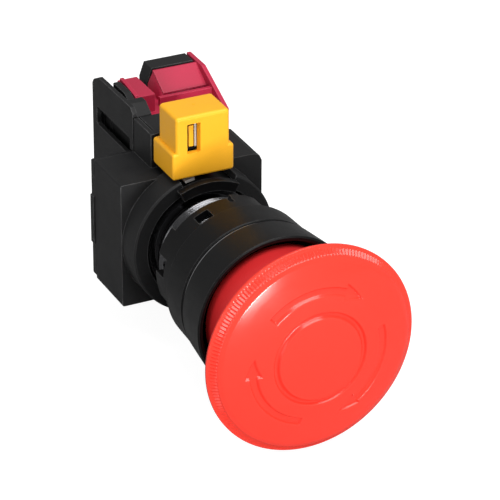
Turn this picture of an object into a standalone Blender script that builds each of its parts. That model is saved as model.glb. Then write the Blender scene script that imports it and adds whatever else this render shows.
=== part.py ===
"""Emergency stop button: 22 mm panel operator with a 40 mm mushroom head, its
fixing nut, the clip-on contact adaptor with a locking lever, and one contact block.

Metres, +Z up. The front (the mushroom head) faces -Y. The origin is on the button
axis, in the plane of the panel's front face, where the bezel's gasket seats.
"""
import math

import bmesh
import bpy
from mathutils import Matrix, Vector

MM = 0.001
GAP = 0.3                      # clearance between pieces that touch

# ---- driving dimensions, millimetres ------------------------------------------
HEAD_R = 20.0                  # mushroom head radius (40 mm head)
HEAD_FRONT_Y = -25.94
DOME_R = 56.0                  # crown of the face
HEAD_RIM_Y = -20.86
HEAD_BACK_Y = -19.9
HEAD_TEETH = 45                # grip serrations round the rim
RING_R = 8.45                  # ring groove in the face
ARROW_R = 12.55                # three turn arrows on the face
SKIRT_R = 13.3
BEZEL_FRONT_R = 15.6
BEZEL_REAR_R = 14.55
BEZEL_DEPTH = 8.56
BORE_R = 14.0                  # bore of the bezel
BUSH_R = 11.0                  # threaded bushing, M22 x 1.5
BUSH_BORE_R = 8.6
BUSH_END_Y = 26.6
THREAD_PITCH = 1.5
THREAD_START_Y = 0.9
THREAD_END_Y = 19.4
NUT_FRONT_Y = 0.9
NUT_STEP_Y = 8.04
NUT_END_Y = 15.5               # rear of the nut's lugs
NUT_LUG_Y = 14.0               # floor of the wide gaps between them
NUT_SLOT_Y = 12.1              # floor of the narrow gaps
NUT_HUB_R = 12.9
COLLAR_FRONT_Y = 22.04
COLLAR_R = 14.1
COLLAR_BORE_R = 11.3
BOX_X = 14.3                   # adaptor box half width
BOX_FRONT_Y = 27.34
BOX_REAR_Y = 39.4
BOX_TOP_Z = 13.2
BOX_LEFT_TOP_Z = 12.3
BOX_BOTTOM_Z = -12.8
PRESS_TRAVEL = 4.0
PAWL_Y = 12.0                  # latch pawls along the axis
PAWL_TRAVEL = 0.8
LOCK_FRONT_Y = 22.2            # yellow safety lock
LOCK_REAR_Y = 31.1
LOCK_BASE_Z = 13.8
LOCK_STEP_Z = 19.1
LOCK_TOP_Z = 26.2
PLATFORM_TOP_Z = 19.2
CONTACT_X = 6.4                # contact mechanism, off the button axis
BLOCK_X0 = -2.9
BLOCK_X1 = 14.3
BLOCK_FRONT_Y = 41.4
BLOCK_REAR_Y = 54.6
COVER_REAR_Y = 58.6
HOOD_X0 = 4.4
HOOD_TOP_Z = 20.8
SCREW_X = 8.6                  # terminal screws
SCREW_Y = 50.6
WING_X = -6.3

COLOURS = {
    "red": ((0.930, 0.060, 0.040), 0.38, 0.0),
    "deep_red": ((0.500, 0.020, 0.022), 0.42, 0.0),
    "black": ((0.020, 0.020, 0.021), 0.55, 0.0),
    "black_matt": ((0.030, 0.030, 0.031), 0.68, 0.0),
    "rubber": ((0.012, 0.012, 0.012), 0.85, 0.0),
    "thread_metal": ((0.420, 0.420, 0.430), 0.30, 1.0),
    "steel": ((0.560, 0.560, 0.570), 0.32, 1.0),
    "brass": ((0.720, 0.520, 0.220), 0.35, 1.0),
    "silver": ((0.780, 0.770, 0.740), 0.25, 1.0),
    "white": ((0.780, 0.770, 0.730), 0.50, 0.0),
    "grey": ((0.480, 0.470, 0.450), 0.50, 0.0),
    "yellow": ((0.980, 0.540, 0.025), 0.45, 0.0),
    "magenta": ((0.560, 0.050, 0.130), 0.42, 0.0),
}


# ---- helpers ------------------------------------------------------------------
def clear_scene():
    for obj in list(bpy.data.objects):
        bpy.data.objects.remove(obj, do_unlink=True)


def material(slot):
    name = "mat_" + slot
    found = bpy.data.materials.get(name)
    if found:
        return found
    colour, rough, metal = COLOURS[slot]
    mat = bpy.data.materials.new(name)
    mat.use_nodes = True
    shader = mat.node_tree.nodes["Principled BSDF"]
    shader.inputs["Base Color"].default_value = (*colour, 1.0)
    shader.inputs["Roughness"].default_value = rough
    shader.inputs["Metallic"].default_value = metal
    mat.diffuse_color = (*colour, 1.0)
    return mat


def finish_mesh(bm, name, slot, smooth=True):
    bmesh.ops.recalc_face_normals(bm, faces=bm.faces)
    mesh = bpy.data.meshes.new(name)
    bm.to_mesh(mesh)
    bm.free()
    if smooth:
        mesh.shade_smooth()
        mesh.set_sharp_from_angle(angle=math.radians(34))
    obj = bpy.data.objects.new(name, mesh)
    bpy.context.collection.objects.link(obj)
    if slot:
        mesh.materials.append(material(slot))
    return obj


def lathe(name, profile, slot, segs=48, radius_at=None):
    """Turn a profile of (radius, y) about the button axis. A profile that starts
    and ends on the axis makes a solid; any other is closed into a ring."""
    bm = bmesh.new()
    rows = []
    for index, (radius, y) in enumerate(profile):
        if radius == 0.0:
            rows.append([bm.verts.new((0.0, y * MM, 0.0))])
            continue
        row = []
        for k in range(segs):
            angle = 2.0 * math.pi * k / segs
            r = radius if radius_at is None else radius_at(index, radius, y, k)
            row.append(bm.verts.new((r * MM * math.cos(angle), y * MM, r * MM * math.sin(angle))))
        rows.append(row)
    pairs = list(zip(rows, rows[1:]))
    if len(rows[0]) > 1:
        pairs.append((rows[-1], rows[0]))
    for one, two in pairs:
        for k in range(segs):
            n = (k + 1) % segs
            if len(one) == 1:
                bm.faces.new((one[0], two[k], two[n]))
            elif len(two) == 1:
                bm.faces.new((one[k], one[n], two[0]))
            else:
                bm.faces.new((one[k], one[n], two[n], two[k]))
    return finish_mesh(bm, name, slot)


def prism(name, outline, axis, low, high, slot):
    """Extrude an outline along 'x', 'y' or 'z'; the outline holds the other two."""
    place = {
        "x": lambda a, b, t: (t, a, b),
        "y": lambda a, b, t: (a, t, b),
        "z": lambda a, b, t: (a, b, t),
    }[axis]
    bm = bmesh.new()
    bottom = [bm.verts.new(Vector(place(a, b, low)) * MM) for a, b in outline]
    top = [bm.verts.new(Vector(place(a, b, high)) * MM) for a, b in outline]
    bm.faces.new(bottom)
    bm.faces.new(list(reversed(top)))
    count = len(outline)
    for k in range(count):
        n = (k + 1) % count
        bm.faces.new((bottom[k], bottom[n], top[n], top[k]))
    return finish_mesh(bm, name, slot, smooth=False)


def box(name, x0, x1, y0, y1, z0, z1, slot):
    return prism(name, [(x0, y0), (x1, y0), (x1, y1), (x0, y1)], "z", z0, z1, slot)


def rod(name, centre, radius, axis, low, high, slot, segs=24):
    outline = []
    for k in range(segs):
        angle = 2.0 * math.pi * k / segs
        outline.append((centre[0] + radius * math.cos(angle), centre[1] + radius * math.sin(angle)))
    obj = prism(name, outline, axis, low, high, slot)
    obj.data.shade_smooth()
    obj.data.set_sharp_from_angle(angle=math.radians(34))
    return obj


def hide_tool(tool):
    tool.hide_render = True
    tool.display_type = "WIRE"
    tool.name = "tool_" + tool.name


def combine(obj, tool, operation):
    mod = obj.modifiers.new("bool", "BOOLEAN")
    mod.operation = operation
    mod.solver = "EXACT"
    mod.object = tool
    hide_tool(tool)


def cut(obj, *tools):
    for tool in tools:
        combine(obj, tool, "DIFFERENCE")


def join(obj, *tools):
    for tool in tools:
        combine(obj, tool, "UNION")


def bevel(obj, width, segments=1, angle=40):
    mod = obj.modifiers.new("bevel", "BEVEL")
    mod.width = width * MM
    mod.segments = segments
    mod.limit_method = "ANGLE"
    mod.angle_limit = math.radians(angle)


def coil(name, radius, wire, y0, y1, turns, slot, centre=(0.0, 0.0), steps=10, sides=5):
    """A round-wire coil along Y, with its two ends capped."""
    bm = bmesh.new()
    total = int(turns * steps)
    rings = []
    span = y1 - y0 - wire
    for k in range(total + 1):
        angle = 2.0 * math.pi * k / steps
        y = y0 + 0.5 * wire + span * k / total
        ring = []
        for s in range(sides):
            turn = 2.0 * math.pi * s / sides
            r = radius + 0.5 * wire * math.cos(turn)
            x = centre[0] + r * math.cos(angle)
            z = centre[1] + r * math.sin(angle)
            ring.append(bm.verts.new((x * MM, (y + 0.5 * wire * math.sin(turn)) * MM, z * MM)))
        rings.append(ring)
    for one, two in zip(rings, rings[1:]):
        for s in range(sides):
            n = (s + 1) % sides
            bm.faces.new((one[s], one[n], two[n], two[s]))
    bm.faces.new(rings[0])
    bm.faces.new(list(reversed(rings[-1])))
    return finish_mesh(bm, name, slot)


def polar(radius, degrees):
    angle = math.radians(degrees)
    return (radius * math.cos(angle), radius * math.sin(angle))


def arc_points(radius, start, end, steps):
    return [polar(radius, start + (end - start) * k / steps) for k in range(steps + 1)]


def hull(name, points, slot):
    """Convex solid round some points, for wedges."""
    bm = bmesh.new()
    for point in points:
        bm.verts.new(Vector(point) * MM)
    bmesh.ops.convex_hull(bm, input=bm.verts)
    bmesh.ops.dissolve_limit(bm, angle_limit=0.01, verts=bm.verts, edges=bm.edges)
    return finish_mesh(bm, name, slot, smooth=False)


def sector(name, r0, r1, start, end, y0, y1, slot, steps=10):
    outline = arc_points(r1, start, end, steps) + list(reversed(arc_points(r0, start, end, steps)))
    return prism(name, outline, "y", y0, y1, slot)


# ---- operator -----------------------------------------------------------------
def arrow_outline(start):
    """A curved arrow of the face, drawn clockwise as seen from the front."""
    half = 0.75
    shaft_end = start - 68.5
    tip = start - 86.5
    outer = arc_points(ARROW_R + half, start, shaft_end, 6)
    inner = arc_points(ARROW_R - half, shaft_end, start, 6)
    head = [polar(ARROW_R + 1.5, shaft_end), polar(ARROW_R, tip), polar(ARROW_R - 1.5, shaft_end)]
    return outer + head + inner


def dome_y(radius):
    return HEAD_FRONT_Y + radius * radius / (2.0 * DOME_R)


def mushroom_head():
    def serrate(index, radius, y, k):
        if index in (10, 11) and k % 2:
            return radius - 0.3
        return radius

    groove = dome_y(RING_R) + 0.4
    profile = [
        (0.0, HEAD_FRONT_Y), (4.2, dome_y(4.2)), (RING_R - 0.6, dome_y(RING_R - 0.6)),
        (RING_R - 0.25, groove), (RING_R + 0.25, groove), (RING_R + 0.6, dome_y(RING_R + 0.6)),
        (12.5, dome_y(12.5)), (15.0, dome_y(15.0)), (17.0, dome_y(17.0)), (17.9, HEAD_RIM_Y - 2.15),
        (18.5, HEAD_RIM_Y - 1.75), (19.6, HEAD_RIM_Y - 0.6), (HEAD_R, HEAD_RIM_Y - 0.35),
        (HEAD_R, HEAD_RIM_Y + 0.1), (19.6, HEAD_RIM_Y + 0.55), (18.6, HEAD_BACK_Y),
        (4.3, HEAD_BACK_Y), (4.3, HEAD_BACK_Y - 3.4), (0.0, HEAD_BACK_Y - 3.4),
    ]
    head = lathe("mushroom_head", profile, "red", segs=2 * HEAD_TEETH, radius_at=serrate)
    for number in range(3):
        outline = arrow_outline(134.8 - 120.0 * number)
        tool = prism("arrow_%d" % number, outline, "y", HEAD_FRONT_Y - 1.0, dome_y(ARROW_R) + 0.4, None)
        cut(head, tool)
    return head


def button_skirt():
    profile = [
        (4.6, HEAD_BACK_Y + GAP), (15.4, HEAD_BACK_Y + GAP), (14.9, -18.6), (13.9, -16.6),
        (SKIRT_R, -14.6), (SKIRT_R, -6.6), (12.55, -6.6), (12.55, -18.2), (4.6, -18.2),
    ]
    return lathe("button_skirt", profile, "deep_red", segs=40)


def stem():
    cone = PAWL_TRAVEL / PRESS_TRAVEL
    pawl_rear = PAWL_Y + 1.2
    pawl_front = PAWL_Y - 1.2 - PRESS_TRAVEL
    rear_r = 5.2
    front_r = rear_r - cone * (pawl_rear - pawl_front)
    profile = [
        (0.0, HEAD_BACK_Y - 3.1), (4.0, HEAD_BACK_Y - 3.1), (4.0, -17.9), (5.0, -17.9),
        (5.0, pawl_front - 0.4), (front_r, pawl_front - 0.4), (front_r, pawl_front),
        (rear_r, pawl_rear), (rear_r, 24.6), (3.0, 24.6), (3.0, 27.9), (2.3, 27.9), (2.3, 28.7),
        (3.0, 28.7), (3.0, 29.6), (0.0, 29.6),
    ]
    return lathe("stem", profile, "white", segs=20)


def stem_clip():
    """Spring clip in the groove at the end of the stem, open downwards."""
    clip = lathe("stem_clip", [(2.5, 28.0), (3.9, 28.0), (3.9, 28.5), (2.5, 28.5)], "steel", segs=24)
    cut(clip, box("clip_mouth", -1.3, 1.3, 27.0, 30.0, -6.0, -1.0, None))
    return clip


def drive_disc():
    """Pusher plate that the stem carries and that presses the contact block."""
    profile = [(3.3, 24.9), (5.5, 24.9), (5.5, 26.6), (8.4, 26.6), (8.4, 27.7), (3.3, 27.7)]
    disc = lathe("drive_disc", profile, "white", segs=32)
    return disc


def return_spring():
    return coil("return_spring", 6.6, 1.1, -17.9, -3.4, 5.5, "steel")


def bezel():
    profile = [
        (BEZEL_FRONT_R - 0.25, -BEZEL_DEPTH), (BEZEL_FRONT_R, -BEZEL_DEPTH + 0.25),
        (BEZEL_REAR_R + 0.15, -0.25), (BEZEL_REAR_R, 0.0), (14.0, 0.0), (14.0, -0.8), (12.0, -0.8),
        (12.0, 0.0), (BUSH_R + GAP, 0.0), (BUSH_R + GAP, -1.8), (BORE_R, -1.8),
        (BORE_R, -7.0), (14.3, -7.5),
    ]
    return lathe("bezel", profile, "black", segs=48)


def panel_gasket():
    profile = [(12.3, -0.5), (13.7, -0.5), (13.7, 0.2), (12.3, 0.2)]
    return lathe("panel_gasket", profile, "rubber", segs=40)


def threaded_bushing():
    """Bushing with a helical outer thread; the stem and the latch run inside it."""
    segs = 24
    steps = 2
    bm = bmesh.new()
    depth = 0.55
    rows = int(round((THREAD_END_Y - THREAD_START_Y) / THREAD_PITCH * steps)) + 1

    def ring(radius, y):
        made = []
        for k in range(segs):
            angle = 2.0 * math.pi * k / segs
            made.append(bm.verts.new((radius * MM * math.cos(angle), y * MM, radius * MM * math.sin(angle))))
        return made

    def thread_ring(y):
        made = []
        for k in range(segs):
            angle = 2.0 * math.pi * k / segs
            phase = (y / THREAD_PITCH - k / segs) % 1.0
            radius = BUSH_R - depth * abs(2.0 * phase - 1.0)
            made.append(bm.verts.new((radius * MM * math.cos(angle), y * MM, radius * MM * math.sin(angle))))
        return made

    core = BUSH_R - depth
    loops = [ring(12.2, -3.1), ring(12.2, -2.1), ring(BUSH_R, -2.1), ring(BUSH_R, -0.2)]
    loops.append(ring(core, THREAD_START_Y - 0.6))
    for k in range(rows):
        loops.append(thread_ring(THREAD_START_Y + THREAD_PITCH * k / steps))
    loops.append(ring(core, THREAD_END_Y + 0.5))
    loops.append(ring(9.7, 20.2))
    loops.append(ring(9.7, 22.6))
    loops.append(ring(BUSH_R, 22.9))
    loops.append(ring(BUSH_R, BUSH_END_Y))
    loops.append(ring(BUSH_BORE_R, BUSH_END_Y))
    loops.append(ring(BUSH_BORE_R, -1.2))
    loops.append(ring(5.6, -1.2))
    loops.append(ring(5.6, -3.1))
    for one, two in zip(loops, loops[1:] + loops[:1]):
        for k in range(segs):
            n = (k + 1) % segs
            bm.faces.new((one[k], one[n], two[n], two[k]))
    return finish_mesh(bm, "threaded_bushing", "thread_metal")


def stem_seal():
    profile = [(5.3, 0.0), (8.3, -0.9), (8.3, 1.2), (7.4, 1.2), (7.4, 0.2), (5.8, 0.9)]
    return lathe("stem_seal", profile, "rubber", segs=24)


def latch_sleeve():
    profile = [(5.6, 7.2), (8.3, 7.2), (8.3, 24.0), (5.6, 24.0)]
    sleeve = lathe("latch_sleeve", profile, "white", segs=28)
    cut(sleeve, box("pawl_window", -12.0, 12.0, PAWL_Y - 1.5, PAWL_Y + 1.5, -1.9, 1.9, None))
    return sleeve


def latch_pawls():
    made = []
    for name, side in (("latch_pawl_left", -1), ("latch_pawl_right", 1)):
        x0 = side * 5.5
        x1 = side * 8.2
        pawl = box(name, min(x0, x1), max(x0, x1), PAWL_Y - 1.2, PAWL_Y + 1.2, -1.5, 1.5, "steel")
        made.append(pawl)
    return made


def turn_spring():
    return coil("turn_spring", 7.2, 0.9, 1.5, 6.6, 4.0, "steel")


def lock_washer():
    profile = [(BUSH_R + GAP, 0.35), (14.4, 0.35), (14.4, 0.6), (BUSH_R + GAP, 0.6)]
    return lathe("lock_washer", profile, "steel", segs=48)


def locking_nut():
    profile = [
        (BEZEL_REAR_R - 0.1, NUT_FRONT_Y), (14.2, NUT_STEP_Y - 0.3), (13.9, NUT_STEP_Y),
        (NUT_HUB_R + 0.2, NUT_STEP_Y), (NUT_HUB_R, NUT_STEP_Y + 0.4), (NUT_HUB_R - 0.1, NUT_END_Y - 0.2),
        (NUT_HUB_R - 0.3, NUT_END_Y), (BUSH_R + 0.35, NUT_END_Y), (BUSH_R + 0.35, NUT_FRONT_Y),
    ]
    nut = lathe("locking_nut", profile, "black", segs=48)
    gaps = ((82.0, 138.0, NUT_LUG_Y, NUT_END_Y + 1.0), (162.0, 178.0, NUT_SLOT_Y, NUT_END_Y + 1.0),
            (83.0, 87.0, NUT_SLOT_Y + 0.3, NUT_LUG_Y + 0.5), (107.6, 120.6, 9.75, 12.5))
    for number in range(3):
        for kind, (start, end, y0, y1) in enumerate(gaps):
            turn = 120.0 * number
            cut(nut, sector("notch_%d%d" % (kind, number), 10.2, 16.0, start + turn, end + turn, y0, y1,
                            None, steps=4))
    return nut


# ---- adaptor ------------------------------------------------------------------
def adaptor_housing():
    outline = [
        (-BOX_X, BOX_BOTTOM_Z), (BOX_X - 1.0, BOX_BOTTOM_Z), (BOX_X, BOX_BOTTOM_Z + 1.0),
        (BOX_X, BOX_TOP_Z - 1.6), (BOX_X - 0.5, BOX_TOP_Z - 0.5), (BOX_X - 1.6, BOX_TOP_Z),
        (-WING_X, BOX_TOP_Z), (-WING_X, BOX_LEFT_TOP_Z), (-BOX_X, BOX_LEFT_TOP_Z),
    ]
    housing = prism("adaptor_housing", outline, "y", BOX_FRONT_Y, BOX_REAR_Y, "black_matt")
    join(housing, rod("collar", (0.0, 0.0), COLLAR_R, "y", COLLAR_FRONT_Y, BOX_FRONT_Y + 0.4, None, segs=72))
    join(housing, box("platform", WING_X, -WING_X, LOCK_REAR_Y + 0.6, BOX_REAR_Y, 11.5, PLATFORM_TOP_Z, None))
    cut(housing, rod("bore", (0.0, 0.0), COLLAR_BORE_R, "y", 20.0, 31.0, None, segs=60))
    cut(housing, rod("ring_pocket", (0.0, 0.0), 12.95, "y", 23.1, 27.3, None, segs=60))
    cut(housing, sector("lever_gap", 11.0, 16.0, 62.0, 109.0, 21.0, BOX_FRONT_Y + 0.6, None))
    cut(housing, box("cavity", -12.4, 12.4, 29.4, 41.0, -10.9, 10.2, None))
    cut(housing, box("slit", WING_X + 0.95, WING_X + 1.25, 33.0, 41.0, PLATFORM_TOP_Z - 0.3, 21.0, None))
    return housing


def locking_ring():
    """Bayonet ring that grips the bushing, turned by the lever."""
    ring = lathe("locking_ring", [(11.4, 23.4), (12.65, 23.4), (12.65, 27.0), (11.4, 27.0)], "black",
                 segs=48)
    join(ring, sector("ring_step", 11.42, 12.63, 64.0, 107.0, 21.4, 24.0, None))
    join(ring, sector("ring_flange", 11.4, 13.3, 62.0, 115.0, 20.1, 21.7, None))
    return ring


def locking_lever():
    foot = sector("locking_lever", 12.95, 13.5, 66.0, 105.0, 22.9, 25.6, "grey", steps=8)
    arm = [(-2.2, 13.2), (2.4, 13.2), (2.4, 22.4), (1.6, 23.2), (-1.4, 23.2), (-2.2, 22.4)]
    join(foot, prism("lever_arm", arm, "y", 24.6, 25.5, None))
    return foot


def lever_tip():
    """Cap on the end of the lever; its rib shows in the lock's window."""
    tip = box("lever_tip", -3.3, 3.1, 23.85, 26.3, 18.4, 24.2, "yellow")
    join(tip, box("tip_rib", -3.05, -1.9, 23.6, 24.0, 19.5, 24.15, None))
    cut(tip, box("tip_socket", -2.5, 2.7, 24.3, 25.8, 17.0, 23.5, None))
    return tip


def safety_lock():
    lower = box("safety_lock", -6.15, 6.15, LOCK_FRONT_Y, LOCK_REAR_Y, LOCK_BASE_Z, LOCK_STEP_Z, "yellow")
    bevel(lower, 0.45, 2)
    upper = box("lock_upper", -5.4, 5.3, LOCK_FRONT_Y + 0.03, LOCK_REAR_Y - 1.0, 16.0, LOCK_TOP_Z, None)
    bevel(upper, 0.5, 2)
    join(lower, upper)
    cut(lower, box("lock_hollow", -4.2, 4.2, 23.35, 29.6, 13.0, 24.8, None))
    cut(lower, box("lock_window", -3.25, -0.7, 21.0, 23.5, 18.7, 24.5, None))
    return lower


def rear_plate():
    """Plate that closes the adaptor box and carries the contact block."""
    outline = [
        (-BOX_X, 11.8), (-BOX_X, 4.6), (-BOX_X - 0.3, 4.6), (-BOX_X - 0.3, -5.4), (-BOX_X, -5.4),
        (-BOX_X, -12.0), (-13.6, -12.8), (BOX_X, -12.8), (BOX_X, 11.8),
    ]
    plate = prism("rear_plate", outline, "y", BOX_REAR_Y + GAP, 41.1, "black_matt")
    cut(plate, rod("plunger_hole", (CONTACT_X, 0.0), 2.0, "y", 38.0, 43.0, None))
    for number, (x, z) in enumerate(((-11.2, 8.6), (-11.2, -8.6))):
        cut(plate, rod("screw_hole_%d" % number, (x, z), 1.5, "y", 38.0, 43.0, None, segs=20))
    return plate


def plate_screws():
    """Two self-tapping screws that hold the rear plate to the adaptor box."""
    for name, z in (("plate_screw_top", 8.6), ("plate_screw_bottom", -8.6)):
        screw = rod(name, (-11.2, z), 2.3, "y", 41.35, 42.4, "steel", segs=20)
        join(screw, rod(name + "_shank", (-11.2, z), 1.2, "y", 35.0, 41.9, None, segs=20))
        cut(screw, box(name + "_slot", -13.6, -8.8, 41.9, 43.0, z - 0.3, z + 0.3, None))


# ---- contact block ------------------------------------------------------------
def side_frame():
    """Black side frame of the block: a wing plate with slots, a tab and a hook."""
    back = COVER_REAR_Y
    outline = [
        (41.4, 12.1), (BOX_REAR_Y + GAP, 12.1), (BOX_REAR_Y + GAP, 19.8), (40.9, 20.8), (55.6, 20.6),
        (57.9, 19.4), (back, 18.4), (back, -18.4), (57.9, -19.4), (55.6, -20.6), (43.0, -20.6), (41.4, -19.4),
    ]
    frame = prism("side_frame", outline, "x", WING_X, WING_X + 0.9, "black_matt")
    cut(frame, box("wing_slot", -8.0, -4.0, 41.2, 56.6, 10.6, 14.2, None))
    cut(frame, box("wing_slot_low", -8.0, -4.0, 42.8, 56.6, -14.2, -10.6, None))
    join(frame, box("frame_web", -4.2, -3.2, 41.4, 54.8, -18.0, 18.3, None))
    join(frame, box("frame_back", WING_X + 0.6, -3.2, 54.3, back - 0.4, -18.0, 18.0, None))
    for sign in (1, -1):
        tag = "t" if sign > 0 else "b"
        front = BOX_REAR_Y + GAP if sign > 0 else 41.4
        tab = [(front, 17.2), (front, 19.1), (front + 2.6, 20.75), (44.2, 20.75), (44.2, 17.2)]
        hook = [(44.0, 17.4), (45.4, 19.6), (47.5, 20.5), (52.6, 20.5), (52.6, 19.4), (51.4, 18.6), (51.4, 17.4)]
        tab = [(y, sign * z) for y, z in tab]
        hook = [(y, sign * z) for y, z in hook]
        join(frame, prism("frame_tab_" + tag, tab, "x", WING_X + 0.3, -2.4, None))
        join(frame, prism("frame_hook_" + tag, hook, "x", -4.6, -3.2, None))
        low, high = sorted((sign * 17.0, sign * 20.0))
        join(frame, box("frame_finger_" + tag, -5.1, -3.2, 44.0, 45.2, low, high, None))
    return frame


def contact_housing():
    """Magenta shell of the contact block, open at the back."""
    body = box("contact_housing", BLOCK_X0, BLOCK_X1, BLOCK_FRONT_Y, BLOCK_REAR_Y, -16.2, 16.2, "magenta")
    for sign in (1, -1):
        tag = "t" if sign > 0 else "b"
        low, high = sorted((sign * 15.0, sign * 19.8))
        join(body, box("shoulder_" + tag, BLOCK_X0, 1.2, 46.0, BLOCK_REAR_Y, low, high, None))
        ridge = [(46.3, 17.0), (46.3, 20.0), (52.0, 20.75), (53.4, 20.75), (53.4, 17.0)]
        hood = [
            (49.6, 15.6), (49.6, 17.75), (54.2, 20.45), (BLOCK_REAR_Y, 20.45), (BLOCK_REAR_Y, 15.6),
        ]
        wall = [
            (42.0, 15.6), (42.0, 16.3), (51.8, HOOD_TOP_Z), (COVER_REAR_Y, HOOD_TOP_Z), (COVER_REAR_Y, 15.6),
        ]
        ridge = [(y, sign * z) for y, z in ridge]
        hood = [(y, sign * z) for y, z in hood]
        wall = [(y, sign * z) for y, z in wall]
        flank = [
            (3.4, BLOCK_REAR_Y, 15.7), (3.4, BLOCK_REAR_Y, 17.9), (HOOD_X0 + 0.2, BLOCK_REAR_Y, 20.4),
            (HOOD_X0 + 0.2, BLOCK_REAR_Y, 15.7), (3.7, 49.7, 15.7), (3.7, 49.7, 16.9),
            (HOOD_X0 + 0.2, 49.7, 17.7), (HOOD_X0 + 0.2, 49.7, 15.7),
        ]
        join(body, prism("ridge_" + tag, ridge, "x", BLOCK_X0, -2.1, None))
        join(body, prism("hood_" + tag, hood, "x", HOOD_X0, BLOCK_X1 - 0.3, None))
        join(body, hull("flank_" + tag, [(x, y, sign * z) for x, y, z in flank], None))
        join(body, prism("wall_" + tag, wall, "x", BLOCK_X1 - 0.9, BLOCK_X1, None))
        low, high = sorted((sign * 15.4, sign * 18.1))
        join(body, box("ledge_" + tag, 2.7, 13.6, 47.3, 48.2, low, high, None))
        low, high = sorted((sign * 13.6, sign * 17.4))
        cut(body, box("recess_" + tag, 5.4, 12.9, 48.2, 53.2, low, high, None))
    join(body, box("side_wall", BLOCK_X1 - 0.9, BLOCK_X1, 54.0, COVER_REAR_Y, -16.0, 16.0, None))
    cut(body, box("shell_cavity", BLOCK_X0 + 1.2, 12.9, 42.6, 57.0, -14.0, 14.0, None))
    cut(body, rod("plunger_bore", (CONTACT_X, 0.0), 1.95, "y", 40.0, 44.0, None))
    return body


def contact_cover():
    """Black rear cover, carrying the spring."""
    side = BLOCK_X1 - 1.2
    outline = [
        (HOOD_X0, 20.7), (side, 20.7), (side, -20.7), (HOOD_X0, -20.7), (3.4, -17.9), (3.4, -16.2),
        (BLOCK_X0, -16.2), (BLOCK_X0, 16.2), (3.4, 16.2), (3.4, 17.9),
    ]
    cover = prism("contact_cover", outline, "y", BLOCK_REAR_Y + GAP, COVER_REAR_Y, "black_matt")
    bevel(cover, 0.3)
    cut(cover, rod("spring_pocket", (CONTACT_X, 0.0), 2.6, "y", 54.0, 57.9, None))
    return cover


def contact_plunger():
    profile = [
        (0.0, 28.0), (2.1, 28.0), (2.1, 29.2), (1.6, 29.2), (1.6, 49.0), (0.9, 49.0), (0.9, 51.6), (0.0, 51.6),
    ]
    plunger = lathe("contact_plunger", profile, "white", segs=24)
    plunger.data.transform(Matrix.Translation((CONTACT_X * MM, 0.0, 0.0)))
    return plunger


def contact_bridge():
    """Moving contact that spans the two fixed contacts."""
    bridge = box("contact_bridge", CONTACT_X - 1.7, CONTACT_X + 1.7, 49.3, 49.9, -6.4, 6.4, "brass")
    for sign in (1, -1):
        tag = "top" if sign > 0 else "bottom"
        join(bridge, rod("tip_" + tag, (CONTACT_X, sign * 5.2), 1.0, "y", 48.75, 49.5, None, segs=16))
    cut(bridge, rod("bridge_hole", (CONTACT_X, 0.0), 1.2, "y", 48.0, 51.0, None, segs=20))
    return bridge


def contact_spring():
    return coil("contact_spring", 1.75, 0.4, 50.2, 57.6, 6.0, "steel", centre=(CONTACT_X, 0.0), steps=8)


def fixed_contacts():
    """Two terminal strips: contact end inside, screw end under the hood."""
    x0 = CONTACT_X - 1.9
    for tag, sign in (("top", 1), ("bottom", -1)):
        low, high = sorted((sign * 3.6, sign * 13.7))
        strip = box("fixed_contact_" + tag, x0, CONTACT_X + 1.9, 46.9, 47.7, low, high, "brass")
        join(strip, rod("fixed_tip_" + tag, (CONTACT_X, sign * 5.2), 1.0, "y", 47.3, 48.45, None, segs=16))
        low, high = sorted((sign * 12.7, sign * 13.7))
        join(strip, box("strip_foot_" + tag, x0, SCREW_X + 2.2, 46.9, 49.4, low, high, None))
        low, high = sorted((sign * 12.7, sign * 15.2))
        join(strip, box("strip_block_" + tag, SCREW_X - 2.2, SCREW_X + 2.2, 48.5, 52.9, low, high, None))
        cut(strip, rod("terminal_thread_" + tag, (SCREW_X, SCREW_Y), 1.35, "z", min(sign * 10.0, sign * 18.0),
                       max(sign * 10.0, sign * 18.0), None, segs=20))


def rod_z(name, centre, radius, low, high, slot, segs=20):
    return rod(name, centre, radius, "z", min(low, high), max(low, high), slot, segs=segs)


def terminals():
    """Clamp washer and screw of each terminal."""
    centre = (SCREW_X, SCREW_Y)
    for tag, sign in (("top", 1), ("bottom", -1)):
        low, high = sorted((sign * 15.45, sign * 16.0))
        washer = box("clamp_washer_" + tag, SCREW_X - 2.1, SCREW_X + 2.1, SCREW_Y - 2.1, SCREW_Y + 2.1, low, high,
                     "steel")
        cut(washer, rod_z("washer_hole_" + tag, centre, 1.35, sign * 15.0, sign * 16.5, None))
        screw = rod_z("terminal_screw_" + tag, centre, 1.95, sign * 16.25, sign * 17.1, "steel", segs=24)
        join(screw, rod_z("screw_shank_" + tag, centre, 1.05, sign * 12.9, sign * 16.9, None))
        low, high = sorted((sign * 16.7, sign * 18.5))
        cut(screw, box("screw_slot_" + tag, SCREW_X - 2.5, SCREW_X + 2.5, SCREW_Y - 0.3, SCREW_Y + 0.3, low, high,
                       None))


def place_origin(name, point):
    """Put a moving piece's origin on its joint axis without moving its shape."""
    obj = bpy.data.objects[name]
    shift = Vector(point) * MM
    obj.data.transform(Matrix.Translation(-shift))
    obj.location = shift


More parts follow.
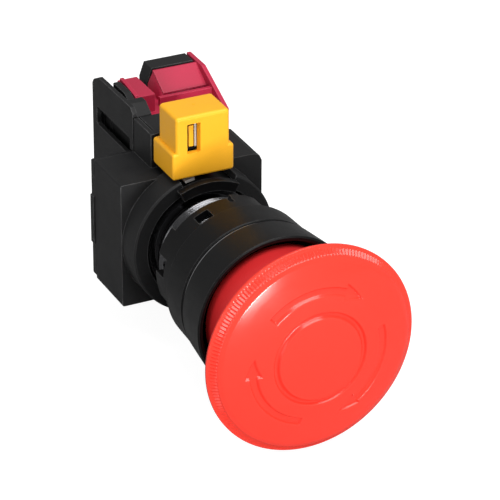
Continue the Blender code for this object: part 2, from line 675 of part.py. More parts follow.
def build():
    clear_scene()
    mushroom_head()
    button_skirt()
    stem()
    stem_clip()
    drive_disc()
    return_spring()
    bezel()
    panel_gasket()
    threaded_bushing()
    stem_seal()
    latch_sleeve()
    latch_pawls()
    turn_spring()
    lock_washer()
    locking_nut()
    adaptor_housing()
    locking_ring()
    locking_lever()
    lever_tip()
    safety_lock()
    rear_plate()
    plate_screws()
    side_frame()
    contact_housing()
    contact_cover()
    contact_plunger()
    contact_bridge()
    contact_spring()
    fixed_contacts()
    terminals()
    place_origin("contact_plunger", (CONTACT_X, 0.0, 0.0))
    place_origin("latch_pawl_left", (0.0, PAWL_Y, 0.0))
    place_origin("latch_pawl_right", (0.0, PAWL_Y, 0.0))


build()
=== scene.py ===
"""Looks of the emergency stop button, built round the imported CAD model."""
import math

import bmesh
import bpy
from mathutils import Matrix, Vector


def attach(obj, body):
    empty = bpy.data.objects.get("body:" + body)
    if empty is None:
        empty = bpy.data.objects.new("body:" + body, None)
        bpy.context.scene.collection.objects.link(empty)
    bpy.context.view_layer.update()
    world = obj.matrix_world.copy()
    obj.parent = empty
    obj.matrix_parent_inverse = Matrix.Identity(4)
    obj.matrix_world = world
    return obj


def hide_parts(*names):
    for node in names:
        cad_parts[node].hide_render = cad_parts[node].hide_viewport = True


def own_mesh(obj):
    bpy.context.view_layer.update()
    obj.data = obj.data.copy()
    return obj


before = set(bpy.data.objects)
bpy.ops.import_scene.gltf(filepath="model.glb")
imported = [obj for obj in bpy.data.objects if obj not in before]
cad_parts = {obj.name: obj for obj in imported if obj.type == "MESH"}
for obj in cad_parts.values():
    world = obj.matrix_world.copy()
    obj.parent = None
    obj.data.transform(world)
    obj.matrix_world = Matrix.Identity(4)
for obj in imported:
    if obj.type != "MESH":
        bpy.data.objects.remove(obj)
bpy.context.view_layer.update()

MM = 0.001
SHARP = math.radians(34)       # edges sharper than this stay sharp when shaded

# the button head, in mm along the axis and from it
HEAD_FRONT_Y = -25.94
DOME_R = 56.0                  # radius of the face's curve
RING_R = 8.45                  # middle of the sunken ring
RING_DEPTH = 0.58
ARROW_R = 12.55                # middle of the sunken arrows
ARROW_DEPTH = 0.48
ARROW_START = 134.8            # degrees, tail of the first arrow
TEETH = 180                    # grip serrations round the rim
TOOTH_DEPTH = 0.11

# the thread of the bushing
THREAD_PITCH = 1.5
THREAD_DEPTH = 0.62
THREAD_SEGS = 120
THREAD_ROWS = 12               # rows of points in one pitch

# studio
FLOOR_Z = -0.0211
FLOOR_REACH = 3.0
FLOOR_GREY = 0.30
FLOOR_GLOW = 0.93              # keeps the floor white to the camera
WORLD_STRENGTH = 0.34
LIGHTS = (                     # name, place, aim, size, watts, roll in degrees
    ("key_front", (-0.10, -1.00, 0.04), (0.0, 0.0, 0.0), (0.36, 0.055), 12.0, 40.0),
    ("top_soft", (0.06, -0.36, 1.05), (0.0, 0.02, 0.0), (0.8, 0.8), 12.0, 0.0),
    ("left_soft", (-1.00, -0.05, 0.22), (0.0, 0.02, 0.0), (0.5, 0.5), 1.9, 0.0),
)
CAMERA_LENS = 230.4
CAMERA_SPOT = (-0.22039, -0.44900, 0.27698)
CAMERA_AXES = (                # right, up and back
    (0.89976, -0.43637, 0.00415), (0.20271, 0.42637, 0.88155), (-0.38645, -0.79234, 0.47209),
)


# ---- finishes -------------------------------------------------------------------
def node(tree, kind, links=(), **values):
    """Add a node; values are properties or input defaults, links are (input, socket)."""
    made = tree.nodes.new("ShaderNode" + kind)
    for key, value in values.items():
        if hasattr(made, key):
            setattr(made, key, value)
        else:
            made.inputs[key.replace("_", " ")].default_value = value
    for key, socket in links:
        tree.links.new(socket, made.inputs[key])
    return made


def finish(name, colour, rough, metal=0.0, specular=0.5, grain=7000.0, bump=0.03, mottle=0.07,
           wear_and_highlight=None, wear_and_highlight_amount=0.5, wear_and_highlight_radius=0.25, rough_swing=0.06, swirl=False):
    """A moulded or machined surface: mottled colour, uneven roughness, fine grain, lighter edges (partly
    wear, partly painted highlight).
    """
    mat = bpy.data.materials.new(name)
    mat.use_nodes = True
    tree = mat.node_tree
    shader = tree.nodes["Principled BSDF"]
    shader.inputs["Metallic"].default_value = metal
    shader.inputs["Specular IOR Level"].default_value = specular
    place = node(tree, "TexCoord").outputs["Object"]
    cloud = node(tree, "TexNoise", [("Vector", place)], Scale=140.0, Detail=5.0, Roughness=0.6)
    fine = node(tree, "TexNoise", [("Vector", place)], Scale=grain, Detail=3.0, Roughness=0.65)
    medium = node(tree, "TexNoise", [("Vector", place)], Scale=grain * 0.16, Detail=4.0, Roughness=0.6)
    # colour: slow mottling and a fine speckle round the base colour
    dark = tuple(c * (1.0 - mottle) for c in colour) + (1.0,)
    light = tuple(min(1.0, c * (1.0 + mottle)) for c in colour) + (1.0,)
    blend = node(tree, "Math", [(0, cloud.outputs["Fac"]), (1, fine.outputs["Fac"])], operation="ADD")
    span = node(tree, "MapRange", [("Value", blend.outputs[0])], **{"From Min": 0.7, "From Max": 1.3})
    tone = node(tree, "Mix", [("Factor", span.outputs["Result"])], data_type="RGBA")
    tone.inputs[6].default_value = dark
    tone.inputs[7].default_value = light
    base = tone.outputs[2]
    # edges: where the rounded normal leaves the true one the colour is made lighter, partly rubbed wear and
    # partly a painted edge highlight
    if wear_and_highlight:
        soft = node(tree, "Bevel", Radius=wear_and_highlight_radius * MM)
        soft.samples = 4
        true = node(tree, "NewGeometry")
        near = node(tree, "VectorMath", [(0, soft.outputs[0]), (1, true.outputs["Normal"])],
                    operation="DOT_PRODUCT")
        edge = node(tree, "MapRange", [("Value", near.outputs["Value"])],
                    **{"From Min": 0.995, "From Max": 0.86, "To Max": wear_and_highlight_amount})
        patch = node(tree, "MapRange", [("Value", medium.outputs["Fac"])],
                     **{"From Min": 0.38, "From Max": 0.62, "To Min": 0.45})
        rub_and_highlight = node(tree, "Math", [(0, edge.outputs["Result"]), (1, patch.outputs["Result"])],
                   operation="MULTIPLY")
        worn_and_highlit = node(tree, "Mix", [("Factor", rub_and_highlight.outputs[0]), (6, base)], data_type="RGBA")
        worn_and_highlit.inputs[7].default_value = wear_and_highlight + (1.0,)
        base = worn_and_highlit.outputs[2]
    tree.links.new(base, shader.inputs["Base Color"])
    # roughness: handled and unhandled patches
    swing = node(tree, "MapRange", [("Value", cloud.outputs["Fac"])],
                 **{"From Min": 0.3, "From Max": 0.7, "To Min": rough - rough_swing,
                    "To Max": rough + rough_swing})
    tree.links.new(swing.outputs["Result"], shader.inputs["Roughness"])
    # relief: fine grain over a slight moulding waviness
    height = fine.outputs["Fac"]
    if swirl:
        turned = node(tree, "TexNoise", [("Vector", place)], Scale=900.0, Detail=2.0)
        wave = node(tree, "Math", [(0, turned.outputs["Fac"]), (1, height)], operation="ADD")
        height = wave.outputs[0]
    relief = node(tree, "Bump", [("Height", height)], Strength=bump, Distance=0.0002)
    tree.links.new(relief.outputs[0], shader.inputs["Normal"])
    return mat


FINISH = {
    "head_red": finish("head_red", (0.82, 0.040, 0.024), 0.18, grain=5000, bump=0.012, mottle=0.03,
                       wear_and_highlight=(0.95, 0.10, 0.07), wear_and_highlight_amount=0.25, rough_swing=0.02, specular=0.42),
    "skirt_red": finish("skirt_red", (0.60, 0.022, 0.024), 0.36, grain=4200, bump=0.02, mottle=0.06,
                        wear_and_highlight=(0.72, 0.07, 0.06), wear_and_highlight_amount=0.3, specular=0.35),
    # on the black plastics the light edge colour is set strong to stand in for edge highlights: painted
    # highlight more than wear
    "black_plastic": finish("black_plastic", (0.0038, 0.0038, 0.0041), 0.40, specular=0.18, grain=5200,
                            bump=0.05, mottle=0.18, wear_and_highlight=(0.13, 0.13, 0.132), wear_and_highlight_amount=0.9,
                            wear_and_highlight_radius=0.2),
    "black_textured": finish("black_textured", (0.0098, 0.0099, 0.0104), 0.60, specular=0.30, grain=4200,
                             bump=0.16, mottle=0.22, wear_and_highlight=(0.15, 0.15, 0.152), wear_and_highlight_amount=0.9,
                             wear_and_highlight_radius=0.2),
    "rubber": finish("rubber", (0.008, 0.008, 0.008), 0.82, specular=0.25, grain=3000, bump=0.12,
                     mottle=0.2),
    # the thread metal is darkened below the steel to stand in for the shade and dark reflections on the
    # thread: painted shade
    "thread_metal": finish("thread_metal", (0.11, 0.11, 0.115), 0.20, metal=1.0, grain=2600, bump=0.10,
                           mottle=0.18, wear_and_highlight=(0.50, 0.50, 0.52), wear_and_highlight_amount=0.6, wear_and_highlight_radius=0.12,
                           swirl=True),
    "steel": finish("steel", (0.50, 0.50, 0.51), 0.34, metal=1.0, grain=3600, bump=0.08, mottle=0.12,
                    wear_and_highlight=(0.72, 0.72, 0.74), wear_and_highlight_amount=0.5, wear_and_highlight_radius=0.12, swirl=True),
    "contact_metal": finish("contact_metal", (0.66, 0.48, 0.22), 0.36, metal=1.0, grain=3600, bump=0.08,
                            mottle=0.12, wear_and_highlight=(0.85, 0.68, 0.40), wear_and_highlight_amount=0.5, wear_and_highlight_radius=0.12),
    "white_plastic": finish("white_plastic", (0.72, 0.71, 0.67), 0.46, grain=3600, bump=0.04, mottle=0.05),
    "lever_grey": finish("lever_grey", (0.50, 0.47, 0.44), 0.48, grain=3600, bump=0.05, mottle=0.06,
                         wear_and_highlight=(0.75, 0.72, 0.68), wear_and_highlight_amount=0.4),
    "yellow": finish("yellow", (0.92, 0.44, 0.016), 0.42, grain=5200, bump=0.03, mottle=0.035,
                     wear_and_highlight=(1.0, 0.54, 0.05), wear_and_highlight_amount=0.35, specular=0.35),
    "magenta": finish("magenta", (0.44, 0.018, 0.056), 0.42, grain=5200, bump=0.03, mottle=0.05,
                      wear_and_highlight=(0.66, 0.09, 0.15), wear_and_highlight_amount=0.6, wear_and_highlight_radius=0.35, specular=0.35),
}
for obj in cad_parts.values():
    for place in obj.material_slots:
        for key, mat in FINISH.items():
            if place.material and place.material.name.split(".")[0].endswith(key):
                place.material = mat


# ---- mesh helpers ---------------------------------------------------------------
def new_object(name, bm):
    bmesh.ops.recalc_face_normals(bm, faces=bm.faces)
    mesh = bpy.data.meshes.new(name)
    bm.to_mesh(mesh)
    bm.free()
    obj = bpy.data.objects.new(name, mesh)
    bpy.context.scene.collection.objects.link(obj)
    return obj


def rounded(points, closed=False, steps=3):
    """Round the corners of an outline; a point is (a, b) or (a, b, radius)."""
    out = []
    count = len(points)
    for k, point in enumerate(points):
        here = Vector(point[:2])
        radius = point[2] if len(point) > 2 else 0.0
        if not radius or (not closed and k in (0, count - 1)):
            out.append(tuple(here))
            continue
        back = Vector(points[k - 1][:2]) - here
        on = Vector(points[(k + 1) % count][:2]) - here
        turn = math.pi - back.angle(on)
        if turn < 0.02:
            out.append(tuple(here))
            continue
        reach = min(radius * math.tan(turn / 2.0), 0.48 * back.length, 0.48 * on.length)
        start, end = here + back.normalized() * reach, here + on.normalized() * reach
        for s in range(steps + 1):
            t = s / steps
            out.append(tuple(start * (1 - t) ** 2 + here * 2 * t * (1 - t) + end * t ** 2))
    return out


def lathe(name, profile, segs=192, closed=None, shape=None, steps=3):
    """Turn (radius, y[, corner radius]) about the axis. shape moves (r, y) by angle."""
    closed = profile[0][0] > 0.0 if closed is None else closed
    rows = rounded(profile, closed, steps)
    bm = bmesh.new()
    rings = []
    for radius, y in rows:
        if radius < 1e-6:
            rings.append([bm.verts.new((0.0, y * MM, 0.0))])
            continue
        ring = []
        for k in range(segs):
            angle = 2.0 * math.pi * k / segs
            r, t = (radius, y) if shape is None else shape(radius, y, angle)
            ring.append(bm.verts.new((r * MM * math.cos(angle), t * MM, r * MM * math.sin(angle))))
        rings.append(ring)
    pairs = list(zip(rings, rings[1:])) + ([(rings[-1], rings[0])] if closed else [])
    for one, two in pairs:
        for k in range(segs):
            n = (k + 1) % segs
            if len(one) == 1:
                bm.faces.new((one[0], two[k], two[n]))
            elif len(two) == 1:
                bm.faces.new((one[k], one[n], two[0]))
            else:
                bm.faces.new((one[k], one[n], two[n], two[k]))
    return new_object(name, bm)


def prism(outline, axis, low, high, steps=3):
    """Extrude an outline, whose points may carry a corner radius, along one axis."""
    place = {"x": lambda a, b, t: (t, a, b), "y": lambda a, b, t: (a, t, b),
             "z": lambda a, b, t: (a, b, t)}[axis]
    outline = rounded(outline, True, steps)
    bm = bmesh.new()
    ends = [[bm.verts.new(Vector(place(a, b, t)) * MM) for a, b in outline] for t in (low, high)]
    bm.faces.new(ends[0])
    bm.faces.new(list(reversed(ends[1])))
    for k in range(len(outline)):
        n = (k + 1) % len(outline)
        bm.faces.new((ends[0][k], ends[0][n], ends[1][n], ends[1][k]))
    return new_object("solid", bm)


def box(x0, x1, y0, y1, z0, z1):
    return prism([(x0, y0), (x1, y0), (x1, y1), (x0, y1)], "z", z0, z1)


def hull(points):
    """Convex solid round some points, for wedges and tapered blocks."""
    bm = bmesh.new()
    for point in points:
        bm.verts.new(Vector(point) * MM)
    made = bmesh.ops.convex_hull(bm, input=bm.verts)
    spare = [v for v in made["geom_interior"] if isinstance(v, bmesh.types.BMVert)]
    bmesh.ops.delete(bm, geom=spare, context="VERTS")
    bmesh.ops.dissolve_limit(bm, angle_limit=0.01, verts=bm.verts, edges=bm.edges)
    return new_object("solid", bm)


def rod(centre, radius, axis, low, high, segs=48):
    """A round bar along one axis; centre is in the other two."""
    ring = [(centre[0] + radius * math.cos(2 * math.pi * k / segs),
             centre[1] + radius * math.sin(2 * math.pi * k / segs)) for k in range(segs)]
    return prism(ring, axis, low, high)


def arc(radius, start, end, steps):
    """Points on a circle between two angles in degrees."""
    turns = [math.radians(start + (end - start) * k / steps) for k in range(steps + 1)]
    return [(radius * math.cos(a), radius * math.sin(a)) for a in turns]


def sector(r0, r1, start, end, y0, y1, steps=24):
    """Part of a ring about the button's axis."""
    outline = arc(r1, start, end, steps) + list(reversed(arc(r0, start, end, steps)))
    return prism(outline, "y", y0, y1)


def settle(obj):
    """Turn the modifiers into mesh."""
    deps = bpy.context.evaluated_depsgraph_get()
    deps.update()
    obj.data = bpy.data.meshes.new_from_object(obj.evaluated_get(deps))
    obj.modifiers.clear()
    return obj


def soften(obj, width, segments=2, angle=40):
    """Round every edge sharper than angle, in degrees."""
    mod = obj.modifiers.new("round", "BEVEL")
    mod.width = width * MM
    mod.segments = segments
    mod.limit_method = "ANGLE"
    mod.angle_limit = math.radians(angle)
    mod.use_clamp_overlap = True
    return settle(obj)


def carve(obj, operation, *tools):
    """Apply a Boolean with each tool in turn, and remove the tools."""
    for tool in tools:
        mod = obj.modifiers.new("bool", "BOOLEAN")
        mod.operation = operation
        mod.solver = "EXACT"
        mod.object = tool
        settle(obj)
        bpy.data.objects.remove(tool, do_unlink=True)
    return obj


def cut(obj, *tools):
    return carve(obj, "DIFFERENCE", *tools)


def join(obj, *tools):
    return carve(obj, "UNION", *tools)


def place_piece(obj, name, slot, body, *nodes, soft=0.0, segments=2, angle=40):
    """Name a finished piece, give it its material and put it on its body."""
    if soft:
        soften(obj, soft, segments, angle)
    obj.name = obj.data.name = name
    obj.data.materials.clear()
    obj.data.materials.append(FINISH[slot])
    obj.data.shade_smooth()
    obj.data.set_sharp_from_angle(angle=SHARP)
    even = obj.modifiers.new("even", "WEIGHTED_NORMAL")
    even.keep_sharp = True
    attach(obj, body)
    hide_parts(*nodes)
    return obj


# ---- push button ----------------------------------------------------------------
def dome_y(radius):
    """Where the head's curved face lies at a radius."""
    return HEAD_FRONT_Y + radius * radius / (2.0 * DOME_R)


def step(value, low, high):
    """Smooth rise from 0 at low to 1 at high."""
    t = min(1.0, max(0.0, (value - low) / (high - low)))
    return t * t * (3.0 - 2.0 * t)


def arrow_distance(u, v):
    """Signed distance to a flat arrow: a bar of length 15, then its head, in mm."""
    shape = [(0.0, -0.75), (15.0, -0.75), (15.0, -1.55), (18.95, 0.0), (15.0, 1.55), (15.0, 0.75),
             (0.0, 0.75)]
    best = 1e9
    inside = False
    for (ax, ay), (bx, by) in zip(shape, shape[1:] + shape[:1]):
        ex, ey = bx - ax, by - ay
        t = min(1.0, max(0.0, ((u - ax) * ex + (v - ay) * ey) / (ex * ex + ey * ey)))
        best = min(best, math.hypot(u - ax - t * ex, v - ay - t * ey))
        if (ay > v) != (by > v) and u < (bx - ax) * (v - ay) / (by - ay) + ax:
            inside = not inside
    return -best if inside else best


def head_shape(radius, y, angle):
    """Sink the arrows into the face and cut the grip serrations into the rim."""
    if 10.6 < radius < 14.5 and y < -22.0:
        for number in range(3):
            start = ARROW_START - 120.0 * number
            u = math.radians((start - math.degrees(angle)) % 360.0) * ARROW_R
            if u > 300.0 * ARROW_R * math.pi / 180.0:
                u -= 2.0 * math.pi * ARROW_R
            if u < 20.0:
                d = arrow_distance(u, radius - ARROW_R)
                y += ARROW_DEPTH * (1.0 - step(d, -0.32, 0.10))
    if 18.45 < radius < 19.75 and y < -21.0:
        fade = step(radius, 18.45, 18.75) * (1.0 - step(radius, 19.45, 19.75))
        dip = TOOTH_DEPTH * fade * (1.0 - math.cos(TEETH * angle))
        radius, y = radius - 0.70 * dip, y + 0.72 * dip
    return radius, y


def mushroom_head():
    profile = [(0.0, HEAD_FRONT_Y)]
    profile += [(r, dome_y(r)) for r in (1.0, 2.0, 3.0, 4.0, 5.0, 6.0, 7.0, 7.5)]
    for k in range(13):
        off = -0.75 + 0.125 * k
        depth = RING_DEPTH * (1.0 - step(abs(off), 0.15, 0.66))
        profile.append((RING_R + off, dome_y(RING_R + off) + depth))
    profile += [(r, dome_y(r)) for r in (9.6, 10.1, 10.5)]
    profile += [(10.7 + 0.1 * k, dome_y(10.7 + 0.1 * k)) for k in range(38)]
    profile += [(r, dome_y(r)) for r in (14.9, 15.4, 15.9)]
    crown = [(16.3, dome_y(16.3)), (17.75, -23.08, 1.3), (18.45, -22.66, 0.5), (19.72, -21.34, 0.25),
             (20.0, -21.2, 0.15), (20.0, -20.78, 0.18), (19.5, -20.2, 0.3), (18.4, -19.9)]
    ring = rounded(crown, False, 7)
    spread = []
    for one, two in zip(ring, ring[1:]):
        length = math.hypot(two[0] - one[0], two[1] - one[1])
        parts = max(1, int(length / 0.16)) if 18.4 < one[0] < 19.8 else 1
        spread += [(one[0] + (two[0] - one[0]) * s / parts, one[1] + (two[1] - one[1]) * s / parts)
                   for s in range(parts)]
    profile += spread + [ring[-1], (4.3, -19.9), (4.3, -23.3), (0.0, -23.3)]
    head = lathe("head", profile, segs=720, closed=False, shape=head_shape)
    return place_piece(head, "mushroom_shell", "head_red", "button", "mushroom_head")


def button_skirt():
    profile = [(4.6, -19.6), (15.4, -19.6, 0.15), (15.05, -18.9, 1.5), (13.75, -16.3, 3.0),
               (13.3, -14.2, 2.0), (13.3, -6.6, 0.2), (12.55, -6.6), (12.55, -18.2), (4.6, -18.2)]
    skirt = lathe("skirt", profile, steps=6)
    return place_piece(skirt, "skirt_shell", "skirt_red", "button", "button_skirt")


# ---- bezel, nut and bushing -----------------------------------------------------
def bezel():
    profile = [(15.32, -8.56, 0.12), (15.6, -8.3, 0.12), (14.7, -0.22, 0.1), (14.55, 0.0), (14.0, 0.0),
               (14.0, -0.8), (12.0, -0.8), (12.0, 0.0), (11.3, 0.0), (11.3, -1.8), (14.0, -1.8),
               (14.0, -7.0, 0.1), (14.55, -8.2, 0.3), (14.85, -8.56, 0.15)]
    ring = lathe("bezel", profile)
    return place_piece(ring, "bezel_ring", "black_plastic", "base", "bezel")


def lock_washer():
    profile = [(11.3, 0.35), (14.26, 0.35, 0.06), (14.26, 0.6, 0.06), (11.3, 0.6)]
    return place_piece(lathe("washer", profile), "washer_ring", "steel", "nut_washer", "lock_washer")


def locking_nut():
    profile = [(14.2, 0.9), (14.45, 1.12, 0.1), (14.22, 7.75, 0.12), (13.92, 8.04, 0.1), (13.1, 8.04, 0.08),
               (12.9, 8.4, 0.1), (12.8, 15.3, 0.1), (12.6, 15.5, 0.05), (11.6, 15.5, 0.1), (11.35, 15.2),
               (11.35, 0.9)]
    nut = lathe("nut", profile)
    gaps = ((82.0, 138.0, 14.0, 17.0), (162.0, 178.0, 12.1, 17.0), (83.0, 87.0, 12.4, 14.5),
            (107.6, 120.6, 9.75, 12.5))
    for number in range(3):
        for start, end, y0, y1 in gaps:
            turn = 120.0 * number
            cut(nut, sector(10.2, 16.0, start + turn, end + turn, y0, y1, 8))
    return place_piece(nut, "nut_body", "black_plastic", "nut", "locking_nut", soft=0.07, segments=2)


def threaded_bushing():
    segs, per_pitch, pitch, depth = THREAD_SEGS, THREAD_ROWS, THREAD_PITCH, THREAD_DEPTH
    rows = []
    for radius, y in ((5.6, -3.1), (12.2, -3.1), (12.2, -2.1), (11.0, -2.1), (11.0, -0.2), (10.4, 0.3)):
        rows.append((radius, y, False))
    count = int(round(18.5 / pitch * per_pitch)) + 1
    rows += [(11.0, 0.9 + pitch * k / per_pitch, True) for k in range(count)]
    for radius, y in ((10.4, 19.9), (9.7, 20.2), (9.7, 22.6), (10.85, 22.75), (11.0, 22.9),
                      (11.0, 26.4), (10.85, 26.6),
                      (8.6, 26.6), (8.6, -1.2), (5.6, -1.2)):
        rows.append((radius, y, False))
    bm = bmesh.new()
    rings = []
    for radius, y, threaded in rows:
        ring = []
        for k in range(segs):
            angle = 2.0 * math.pi * k / segs
            r = radius
            if threaded:
                phase = (y / pitch - k / segs) % 1.0
                ramp = min(1.0, max(0.0, (abs(2.0 * phase - 1.0) - 0.10) / 0.74))
                fade = step(y, 0.9, 1.6) * (1.0 - step(y, 18.6, 19.4))
                r = radius - depth * (1.0 - fade * (1.0 - ramp))
            ring.append(bm.verts.new((r * MM * math.cos(angle), y * MM, r * MM * math.sin(angle))))
        rings.append(ring)
    for one, two in zip(rings, rings[1:] + rings[:1]):
        for k in range(segs):
            n = (k + 1) % segs
            bm.faces.new((one[k], one[n], two[n], two[k]))
    bushing = new_object("bushing", bm)
    return place_piece(bushing, "bushing_body", "thread_metal", "base", "threaded_bushing")


# ---- adaptor --------------------------------------------------------------------
def adaptor_housing():
    outline = [(-14.3, -12.8, 0.5), (13.3, -12.8, 0.3), (14.3, -11.8, 0.3), (14.3, 11.6, 0.6),
               (13.8, 12.7, 0.6),
               (12.7, 13.2, 0.6), (6.3, 13.2, 0.05), (6.3, 12.3, 0.05), (-14.3, 12.3, 0.45)]
    housing = soften(prism(outline, "y", 27.34, 39.4), 0.35, 3)
    collar = [(0.0, 22.04), (13.8, 22.04, 0.15), (14.1, 22.32, 0.15), (14.1, 27.8), (0.0, 27.8)]
    collar = lathe("collar", collar, closed=False)
    join(housing, collar)
    join(housing, soften(box(-6.3, 6.3, 31.7, 39.4, 11.5, 19.2), 0.25, 2))
    bore = [(0.0, 20.0), (11.45, 20.0), (11.45, 22.1), (11.3, 22.25), (11.3, 31.0), (0.0, 31.0)]
    bore = lathe("bore", bore, closed=False)
    cut(housing, bore, rod((0.0, 0.0), 12.95, "y", 23.1, 27.3, 144),
        sector(11.0, 16.0, 62.0, 109.0, 21.0, 27.94),
        box(-12.4, 12.4, 29.4, 41.0, -10.9, 10.2), box(-5.35, -5.05, 33.0, 41.0, 18.9, 21.0))
    return place_piece(housing, "housing_body", "black_textured", "base", "adaptor_housing", soft=0.06)


def locking_ring():
    ring = lathe("ring", [(11.4, 23.4), (12.65, 23.4, 0.1), (12.65, 27.0, 0.1), (11.4, 27.0)])
    join(ring, sector(11.42, 12.63, 64.0, 107.0, 21.4, 24.0, 36))
    join(ring, sector(11.4, 13.3, 62.0, 115.0, 20.1, 21.7, 40))
    return place_piece(ring, "ring_body", "black_plastic", "base", "locking_ring", soft=0.10)


def locking_lever():
    foot = sector(12.95, 13.5, 96.5, 105.0, 22.9, 25.6, 10)
    arm = [(-2.2, 13.2), (2.4, 13.2), (2.4, 22.4, 0.5), (1.6, 23.2, 0.5), (-1.4, 23.2, 0.5),
           (-2.2, 22.4, 0.5)]
    join(foot, prism(arm, "y", 24.6, 25.5))
    return place_piece(foot, "lever_arm", "lever_grey", "base", "locking_lever", soft=0.12)


def lever_tip():
    cap = soften(box(-3.3, 3.1, 24.0, 26.3, 18.4, 24.2), 0.2)
    cut(cap, box(-2.5, 2.7, 24.4, 25.8, 17.0, 23.5))
    place_piece(cap, "lever_cap", "black_plastic", "base", "lever_tip")
    rib = soften(box(-2.36, -1.40, 23.55, 24.0, 19.5, 23.68), 0.08)
    place_piece(rib, "lever_rib", "yellow", "base", "lever_tip")
    strip = soften(box(-1.16, -0.60, 23.70, 24.0, 19.3, 24.05), 0.06)
    place_piece(strip, "lever_strip", "lever_grey", "base", "lever_tip")


def safety_lock():
    body = soften(box(-6.15, 6.15, 22.2, 31.1, 13.8, 19.1), 0.55, 4)
    join(body, soften(box(-5.4, 5.3, 22.23, 30.1, 16.0, 26.2), 0.7, 5))
    cut(body, box(-4.2, 4.2, 23.35, 29.6, 13.0, 24.8))
    cut(body, box(-3.25, -0.85, 21.0, 23.6, 18.75, 24.15))
    front, back = 22.0, 23.36
    wedge = [(-3.25, front, 18.75), (-0.55, front, 18.95), (-0.55, front, 24.75), (-3.25, front, 24.75),
             (-3.25, back, 18.75), (-0.85, back, 18.75), (-0.85, back, 24.15), (-3.25, back, 24.15)]
    cut(body, hull(wedge))
    sprue = lathe("sprue", [(0.0, -0.3), (0.42, -0.3), (0.30, 0.12), (0.0, 0.12)], segs=32, closed=False)
    top = Matrix.Translation((0.1 * MM, 26.7 * MM, 26.2 * MM))
    sprue.data.transform(top @ Matrix.Rotation(-math.pi / 2, 4, "X"))
    cut(body, sprue)
    return place_piece(body, "lock_body", "yellow", "lever_lock", "safety_lock")


def rear_plate():
    outline = [(-14.3, 11.8, 0.3), (-14.3, 4.6), (-14.6, 4.6), (-14.6, -5.4), (-14.3, -5.4), (-14.3, -12.0),
               (-13.6, -12.8), (14.3, -12.8, 0.3), (14.3, 11.8, 0.3)]
    plate = soften(prism(outline, "y", 39.7, 41.1), 0.15)
    cut(plate, rod((6.4, 0.0), 2.0, "y", 38.0, 43.0))
    for z in (8.6, -8.6):
        cut(plate, rod((-11.2, z), 1.5, "y", 38.0, 43.0))
    return place_piece(plate, "plate_body", "black_textured", "base", "rear_plate")


# ---- contact block --------------------------------------------------------------
def mirrored(points, sign):
    """The outline itself, or its lower twin when sign is -1."""
    return [(p[0], sign * p[1], *p[2:]) for p in points]


def side_frame():
    outline = [(41.4, 12.1), (39.7, 12.1), (39.7, 19.8, 0.3), (40.9, 20.8, 0.6), (55.6, 20.6, 1.0),
               (57.9, 19.4, 1.2), (58.6, 18.4, 0.6), (58.6, -18.4, 0.6), (57.9, -19.4, 1.2),
               (55.6, -20.6, 1.0),
               (43.0, -20.6, 0.8), (41.4, -19.4, 0.8)]
    wing = prism(outline, "x", -6.3, -5.4)
    slot = [(41.2, 10.6, 0.3), (56.6, 10.6, 0.5), (56.6, 14.2, 0.5), (41.2, 14.2, 0.3)]
    low_slot = [(42.8, -10.6, 0.3), (56.6, -10.6, 0.5), (56.6, -14.2, 0.5), (42.8, -14.2, 0.3)]
    cut(wing, prism(slot, "x", -8, -4), prism(low_slot, "x", -8, -4))
    soften(wing, 0.16)
    join(wing, box(-4.2, -3.2, 41.4, 54.8, -18.0, 18.3))
    join(wing, box(-4.4, -3.2, 54.3, 58.2, -18.0, 18.0))
    join(wing, box(-5.6, -3.2, 57.4, 58.2, -18.0, 18.0))
    for sign in (1, -1):
        front = 39.7 if sign > 0 else 41.4
        tab = [(front, 17.2), (front, 19.1, 0.3), (front + 2.6, 20.75, 0.4), (44.2, 20.75, 0.3),
               (44.2, 17.2)]
        hook = [(44.0, 17.4), (45.4, 19.6, 0.4), (47.5, 20.5, 0.5), (52.6, 20.5, 0.2), (52.6, 19.4, 0.2),
                (51.4, 18.6, 0.2), (51.4, 17.4)]
        join(wing, soften(prism(mirrored(tab, sign), "x", -6.0, -2.4), 0.15),
             soften(prism(mirrored(hook, sign), "x", -4.6, -3.2), 0.15))
        low, high = sorted((sign * 17.0, sign * 20.0))
        join(wing, box(-5.1, -3.2, 44.0, 45.2, low, high))
    return place_piece(wing, "wing_body", "black_textured", "base", "side_frame")


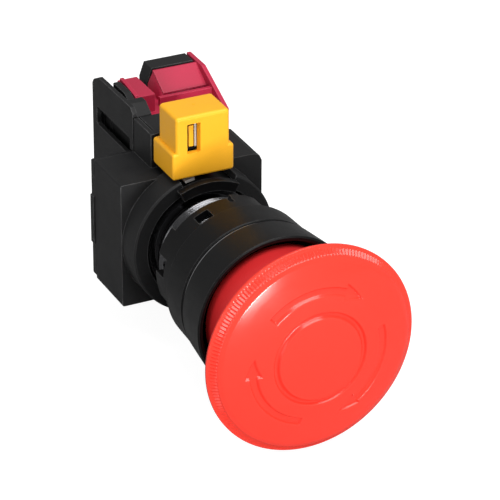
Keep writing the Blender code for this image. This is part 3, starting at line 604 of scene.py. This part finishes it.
def contact_housing():
    body = soften(box(-2.9, 14.3, 41.4, 54.6, -16.2, 16.2), 0.25)
    for sign in (1, -1):
        low, high = sorted((sign * 15.0, sign * 19.8))
        ridge = [(46.3, 17.0), (46.3, 20.0, 0.2), (52.0, 20.75, 0.2), (53.4, 20.75, 0.2), (53.4, 17.0)]
        hood = [(49.6, 15.6), (49.6, 17.75, 0.15), (54.2, 20.45, 0.2), (54.6, 20.45), (54.6, 15.6)]
        flank = [(3.4, 54.6, 15.7), (3.4, 54.6, 17.9), (4.6, 54.6, 20.4), (4.6, 54.6, 15.7),
                 (3.7, 49.7, 15.7), (3.7, 49.7, 16.9), (4.6, 49.7, 17.7), (4.6, 49.7, 15.7)]
        join(body, soften(box(-2.9, 1.2, 46.0, 54.6, low, high), 0.2),
             soften(prism(mirrored(ridge, sign), "x", -2.9, -2.1), 0.12),
             soften(prism(mirrored(hood, sign), "x", 4.4, 14.0), 0.3, 2, 60),
             soften(hull([(x, y, sign * z) for x, y, z in flank]), 0.12))
        low, high = sorted((sign * 15.4, sign * 18.1))
        join(body, soften(box(2.7, 13.6, 47.3, 48.2, low, high), 0.15))
        low, high = sorted((sign * 13.6, sign * 17.4))
        cut(body, box(5.4, 12.9, 48.2, 53.2, low, high))
    wall = [(41.4, -16.1, 0.2), (51.8, -20.8, 0.8), (58.6, -20.8, 0.2), (58.6, 20.8, 0.2), (51.8, 20.8, 0.8),
            (41.4, 16.1, 0.2)]
    join(body, soften(prism(wall, "x", 13.4, 14.3), 0.2))
    cut(body, box(-1.7, 12.9, 42.6, 57.0, -14.0, 14.0), rod((6.4, 0.0), 1.95, "y", 40.0, 44.0))
    return place_piece(body, "block_shell", "magenta", "base", "contact_housing")


def contact_cover():
    outline = [(4.4, 20.7, 0.2), (13.1, 20.7, 0.2), (13.1, -20.7, 0.2), (4.4, -20.7, 0.2), (3.4, -17.9, 0.2),
               (3.4, -16.2), (-2.9, -16.2, 0.2), (-2.9, 16.2, 0.2), (3.4, 16.2), (3.4, 17.9, 0.2)]
    cover = soften(prism(outline, "y", 54.9, 58.6), 0.22)
    cut(cover, rod((6.4, 0.0), 2.6, "y", 54.0, 57.9))
    return place_piece(cover, "cover_body", "black_textured", "base", "contact_cover")


def spring(name, stands_for, radius, wire, y0, y1, turns, centre_x, steps=40, sides=12):
    """A round-wire coil along the y axis from y0 to y1, centred at centre_x."""
    bm = bmesh.new()
    total = int(turns * steps)
    rings = []
    for k in range(total + 1):
        angle = 2.0 * math.pi * k / steps
        y = y0 + 0.5 * wire + (y1 - y0 - wire) * k / total
        ring = []
        for j in range(sides):
            turn = 2.0 * math.pi * j / sides
            r = radius + 0.5 * wire * math.cos(turn)
            at = (centre_x + r * math.cos(angle), y + 0.5 * wire * math.sin(turn), r * math.sin(angle))
            ring.append(bm.verts.new(Vector(at) * MM))
        rings.append(ring)
    for one, two in zip(rings, rings[1:]):
        for j in range(sides):
            n = (j + 1) % sides
            bm.faces.new((one[j], one[n], two[n], two[j]))
    bm.faces.new(rings[0])
    bm.faces.new(list(reversed(rings[-1])))
    made = place_piece(new_object(name, bm), name, "steel", "base", stands_for)
    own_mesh(made)
    return made


spring("return_coil", "return_spring", 6.6, 1.1, -17.9, -3.4, 5.5, 0.0)
spring("contact_coil", "contact_spring", 1.75, 0.4, 50.2, 57.6, 6.0, 6.4)
mushroom_head()
button_skirt()
bezel()
lock_washer()
locking_nut()
threaded_bushing()
adaptor_housing()
locking_ring()
locking_lever()
lever_tip()
safety_lock()
rear_plate()
side_frame()
contact_housing()
contact_cover()


# ---- studio ---------------------------------------------------------------------
def stage_floor():
    bm = bmesh.new()
    turns = ((-1, -1), (1, -1), (1, 1), (-1, 1))
    bm.faces.new([bm.verts.new((x * FLOOR_REACH, y * FLOOR_REACH, FLOOR_Z)) for x, y in turns])
    floor = new_object("stage_floor", bm)
    mat = bpy.data.materials.new("stage_white")
    mat.use_nodes = True
    tree = mat.node_tree
    shader = tree.nodes["Principled BSDF"]
    shader.inputs["Base Color"].default_value = (FLOOR_GREY, FLOOR_GREY, FLOOR_GREY, 1.0)
    shader.inputs["Roughness"].default_value = 0.9
    shader.inputs["Specular IOR Level"].default_value = 0.1
    shader.inputs["Emission Color"].default_value = (1.0, 1.0, 1.0, 1.0)
    glow = node(tree, "Math", [(0, node(tree, "LightPath").outputs["Is Camera Ray"])], operation="MULTIPLY")
    glow.inputs[1].default_value = FLOOR_GLOW
    tree.links.new(glow.outputs[0], shader.inputs["Emission Strength"])
    floor.data.materials.append(mat)


def area_light(name, spot, target, size, power, roll):
    """A soft box at spot, aimed at target and rolled about its own axis."""
    lamp = bpy.data.lights.new(name, "AREA")
    lamp.shape = "RECTANGLE"
    lamp.size, lamp.size_y = size
    lamp.energy = power
    obj = bpy.data.objects.new(name, lamp)
    obj.location = spot
    turn = (Vector(target) - Vector(spot)).to_track_quat("-Z", "Y").to_matrix()
    obj.rotation_euler = (turn @ Matrix.Rotation(math.radians(roll), 3, "Z")).to_euler()
    bpy.context.scene.collection.objects.link(obj)


stage_floor()
world = bpy.data.worlds.new("studio")
world.use_nodes = True
world.node_tree.nodes["Background"].inputs["Color"].default_value = (1.0, 1.0, 1.0, 1.0)
world.node_tree.nodes["Background"].inputs["Strength"].default_value = WORLD_STRENGTH
bpy.context.scene.world = world
bpy.context.scene.view_settings.view_transform = "Standard"

for settings in LIGHTS:
    area_light(*settings)

camera = bpy.data.cameras.new("camera")
camera.sensor_width = 36.0
camera.lens = CAMERA_LENS
camera.clip_start, camera.clip_end = 0.05, 20.0
eye = bpy.data.objects.new("camera", camera)
rows = [[axis[r] for axis in CAMERA_AXES] + [CAMERA_SPOT[r]] for r in range(3)]
eye.matrix_world = Matrix(rows + [[0, 0, 0, 1]])
bpy.context.scene.collection.objects.link(eye)
bpy.context.scene.camera = eye
